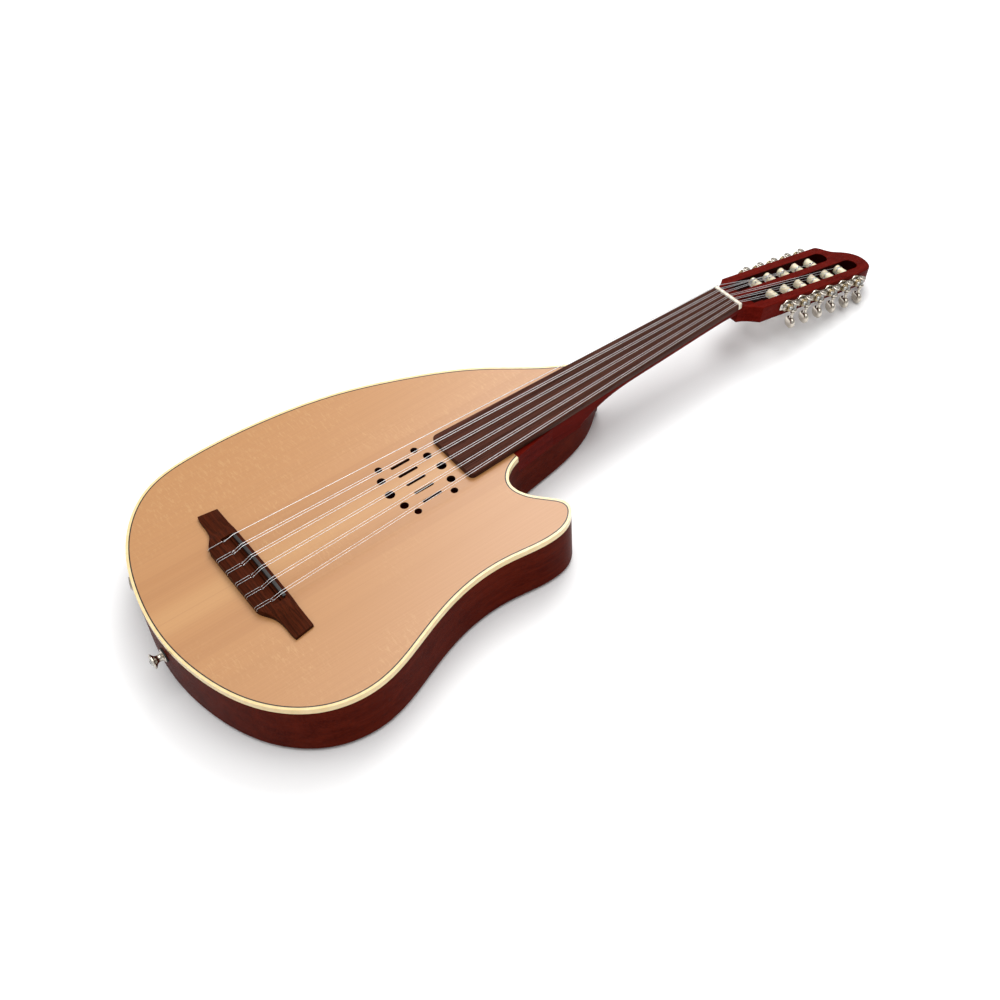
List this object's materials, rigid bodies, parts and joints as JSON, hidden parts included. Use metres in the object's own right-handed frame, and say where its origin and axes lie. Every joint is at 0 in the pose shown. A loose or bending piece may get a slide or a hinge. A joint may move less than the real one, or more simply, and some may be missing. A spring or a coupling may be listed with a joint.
{
  "type": "fretless oud",
  "caption": "Fretless short-scale oud with a thin chambered body, a cutaway, a tie bridge and a slotted headstock with geared tuners, played by plucking.",
  "frame": {"origin": "on the flat back, on the centreline, right under the saddle", "axes": "+X along the neck towards the head, +Y towards the bass side, +Z out of the soundboard"},
  "size_m": [0.9027, 0.3457, 0.0769],
  "materials": {
    "mahogany": "satin",
    "spruce": "satin",
    "binding_cream": "gloss",
    "purfling_black": "gloss",
    "rosewood": "satin",
    "neck_mahogany": "gloss",
    "saddle_black": "satin",
    "nut_cream": "satin",
    "string_silver": "satin",
    "nickel": "polished",
    "steel": "satin",
    "roller_nylon": "satin",
    "black_plastic": "matte",
    "board_green": "satin",
    "battery_case": "satin",
    "copper_strip": "satin"
  },
  "bodies": {
    "instrument": {"back_cover": "black_plastic", "back_cover_screws": "nickel", "battery": "battery_case", "binding": "binding_cream", "bridge": "rosewood", "chambered_body": "mahogany", "fingerboard": "rosewood", "neck": "neck_mahogany", "nut": "nut_cream", "output_jack": "nickel", "preamp_board": "board_green", "preamp_panel": "black_plastic", "purfling": "purfling_black", "saddle": "saddle_black", "soundboard": "spruce", "soundboard_braces": "spruce", "strap_button_heel": "nickel", "strap_button_tail": "nickel", "strap_screw_heel": "nickel", "strap_screw_tail": "nickel", "strings_course_1": "string_silver", "strings_course_2": "string_silver", "strings_course_3": "string_silver", "strings_course_4": "string_silver", "strings_course_5": "string_silver", "strings_course_6": "string_silver", "truss_rod": "steel", "tuner_plate_bass": "nickel", "tuner_plate_treble": "nickel", "tuner_screws_bass": "nickel", "tuner_screws_treble": "nickel", "undersaddle_pickup": "copper_strip"},
    "roller_t1": {"roller_t1": "roller_nylon"},
    "button_t1": {"button_t1": "nickel"},
    "roller_t2": {"roller_t2": "roller_nylon"},
    "button_t2": {"button_t2": "nickel"},
    "roller_t3": {"roller_t3": "roller_nylon"},
    "button_t3": {"button_t3": "nickel"},
    "roller_t4": {"roller_t4": "roller_nylon"},
    "button_t4": {"button_t4": "nickel"},
    "roller_t5": {"roller_t5": "roller_nylon"},
    "button_t5": {"button_t5": "nickel"},
    "roller_t6": {"roller_t6": "roller_nylon"},
    "button_t6": {"button_t6": "nickel"},
    "roller_b1": {"roller_b1": "roller_nylon"},
    "button_b1": {"button_b1": "nickel"},
    "roller_b2": {"roller_b2": "roller_nylon"},
    "button_b2": {"button_b2": "nickel"},
    "roller_b3": {"roller_b3": "roller_nylon"},
    "button_b3": {"button_b3": "nickel"},
    "roller_b4": {"roller_b4": "roller_nylon"},
    "button_b4": {"button_b4": "nickel"},
    "roller_b5": {"roller_b5": "roller_nylon"},
    "button_b5": {"button_b5": "nickel"},
    "slider_volume": {"slider_volume": "black_plastic"},
    "slider_bass": {"slider_bass": "black_plastic"},
    "slider_middle": {"slider_middle": "black_plastic"},
    "slider_treble": {"slider_treble": "black_plastic"}
  },
  "joints": [
    {"name": "button_t1_turn", "type": "hinge", "parent": "instrument", "child": "button_t1", "pos_m": [0.64157, -0.0375, 0.04794], "axis": [0.2079, 0, 0.9781], "continuous": true},
    {"name": "roller_t1_turn", "type": "hinge", "parent": "instrument", "child": "roller_t1", "pos_m": [0.63439, -0.02, 0.04977], "axis": [0, 1, 0], "continuous": true},
    {"name": "button_t2_turn", "type": "hinge", "parent": "instrument", "child": "button_t2", "pos_m": [0.66309, -0.0375, 0.04337], "axis": [0.2079, 0, 0.9781], "continuous": true},
    {"name": "roller_t2_turn", "type": "hinge", "parent": "instrument", "child": "roller_t2", "pos_m": [0.65591, -0.02, 0.0452], "axis": [0, 1, 0], "continuous": true},
    {"name": "button_t3_turn", "type": "hinge", "parent": "instrument", "child": "button_t3", "pos_m": [0.68461, -0.0375, 0.03879], "axis": [0.2079, 0, 0.9781], "continuous": true},
    {"name": "roller_t3_turn", "type": "hinge", "parent": "instrument", "child": "roller_t3", "pos_m": [0.67743, -0.02, 0.04062], "axis": [0, 1, 0], "continuous": true},
    {"name": "button_t4_turn", "type": "hinge", "parent": "instrument", "child": "button_t4", "pos_m": [0.70612, -0.0375, 0.03422], "axis": [0.2079, 0, 0.9781], "continuous": true},
    {"name": "roller_t4_turn", "type": "hinge", "parent": "instrument", "child": "roller_t4", "pos_m": [0.69895, -0.02, 0.03605], "axis": [0, 1, 0], "continuous": true},
    {"name": "button_t5_turn", "type": "hinge", "parent": "instrument", "child": "button_t5", "pos_m": [0.72764, -0.0375, 0.02964], "axis": [0.2079, 0, 0.9781], "continuous": true},
    {"name": "roller_t5_turn", "type": "hinge", "parent": "instrument", "child": "roller_t5", "pos_m": [0.72047, -0.02, 0.03148], "axis": [0, 1, 0], "continuous": true},
    {"name": "button_t6_turn", "type": "hinge", "parent": "instrument", "child": "button_t6", "pos_m": [0.74916, -0.0375, 0.02507], "axis": [0.2079, 0, 0.9781], "continuous": true},
    {"name": "roller_t6_turn", "type": "hinge", "parent": "instrument", "child": "roller_t6", "pos_m": [0.74199, -0.02, 0.0269], "axis": [0, 1, 0], "continuous": true},
    {"name": "button_b1_turn", "type": "hinge", "parent": "instrument", "child": "button_b1", "pos_m": [0.64157, 0.0375, 0.04794], "axis": [0.2079, 0, 0.9781], "continuous": true},
    {"name": "roller_b1_turn", "type": "hinge", "parent": "instrument", "child": "roller_b1", "pos_m": [0.63439, 0.02, 0.04977], "axis": [0, 1, 0], "continuous": true},
    {"name": "button_b2_turn", "type": "hinge", "parent": "instrument", "child": "button_b2", "pos_m": [0.66309, 0.0375, 0.04337], "axis": [0.2079, 0, 0.9781], "continuous": true},
    {"name": "roller_b2_turn", "type": "hinge", "parent": "instrument", "child": "roller_b2", "pos_m": [0.65591, 0.02, 0.0452], "axis": [0, 1, 0], "continuous": true},
    {"name": "button_b3_turn", "type": "hinge", "parent": "instrument", "child": "button_b3", "pos_m": [0.68461, 0.0375, 0.03879], "axis": [0.2079, 0, 0.9781], "continuous": true},
    {"name": "roller_b3_turn", "type": "hinge", "parent": "instrument", "child": "roller_b3", "pos_m": [0.67743, 0.02, 0.04062], "axis": [0, 1, 0], "continuous": true},
    {"name": "button_b4_turn", "type": "hinge", "parent": "instrument", "child": "button_b4", "pos_m": [0.70612, 0.0375, 0.03422], "axis": [0.2079, 0, 0.9781], "continuous": true},
    {"name": "roller_b4_turn", "type": "hinge", "parent": "instrument", "child": "roller_b4", "pos_m": [0.69895, 0.02, 0.03605], "axis": [0, 1, 0], "continuous": true},
    {"name": "button_b5_turn", "type": "hinge", "parent": "instrument", "child": "button_b5", "pos_m": [0.72764, 0.0375, 0.02964], "axis": [0.2079, 0, 0.9781], "continuous": true},
    {"name": "roller_b5_turn", "type": "hinge", "parent": "instrument", "child": "roller_b5", "pos_m": [0.72047, 0.02, 0.03148], "axis": [0, 1, 0], "continuous": true},
    {"name": "slider_volume_slide", "type": "slide", "parent": "instrument", "child": "slider_volume", "axis": [0, 0, 1], "range_m": [-0.01, 0.01]},
    {"name": "slider_bass_slide", "type": "slide", "parent": "instrument", "child": "slider_bass", "axis": [0, 0, 1], "range_m": [-0.01, 0.01]},
    {"name": "slider_middle_slide", "type": "slide", "parent": "instrument", "child": "slider_middle", "axis": [0, 0, 1], "range_m": [-0.01, 0.01]},
    {"name": "slider_treble_slide", "type": "slide", "parent": "instrument", "child": "slider_treble", "axis": [0, 0, 1], "range_m": [-0.01, 0.01]}
  ],
  "couplings": [
    {"joint": "roller_t1_turn", "follows": "button_t1_turn", "ratio": 0.066667},
    {"joint": "roller_t2_turn", "follows": "button_t2_turn", "ratio": 0.066667},
    {"joint": "roller_t3_turn", "follows": "button_t3_turn", "ratio": 0.066667},
    {"joint": "roller_t4_turn", "follows": "button_t4_turn", "ratio": 0.066667},
    {"joint": "roller_t5_turn", "follows": "button_t5_turn", "ratio": 0.066667},
    {"joint": "roller_t6_turn", "follows": "button_t6_turn", "ratio": 0.066667},
    {"joint": "roller_b1_turn", "follows": "button_b1_turn", "ratio": 0.066667},
    {"joint": "roller_b2_turn", "follows": "button_b2_turn", "ratio": 0.066667},
    {"joint": "roller_b3_turn", "follows": "button_b3_turn", "ratio": 0.066667},
    {"joint": "roller_b4_turn", "follows": "button_b4_turn", "ratio": 0.066667},
    {"joint": "roller_b5_turn", "follows": "button_b5_turn", "ratio": 0.066667}
  ]
}
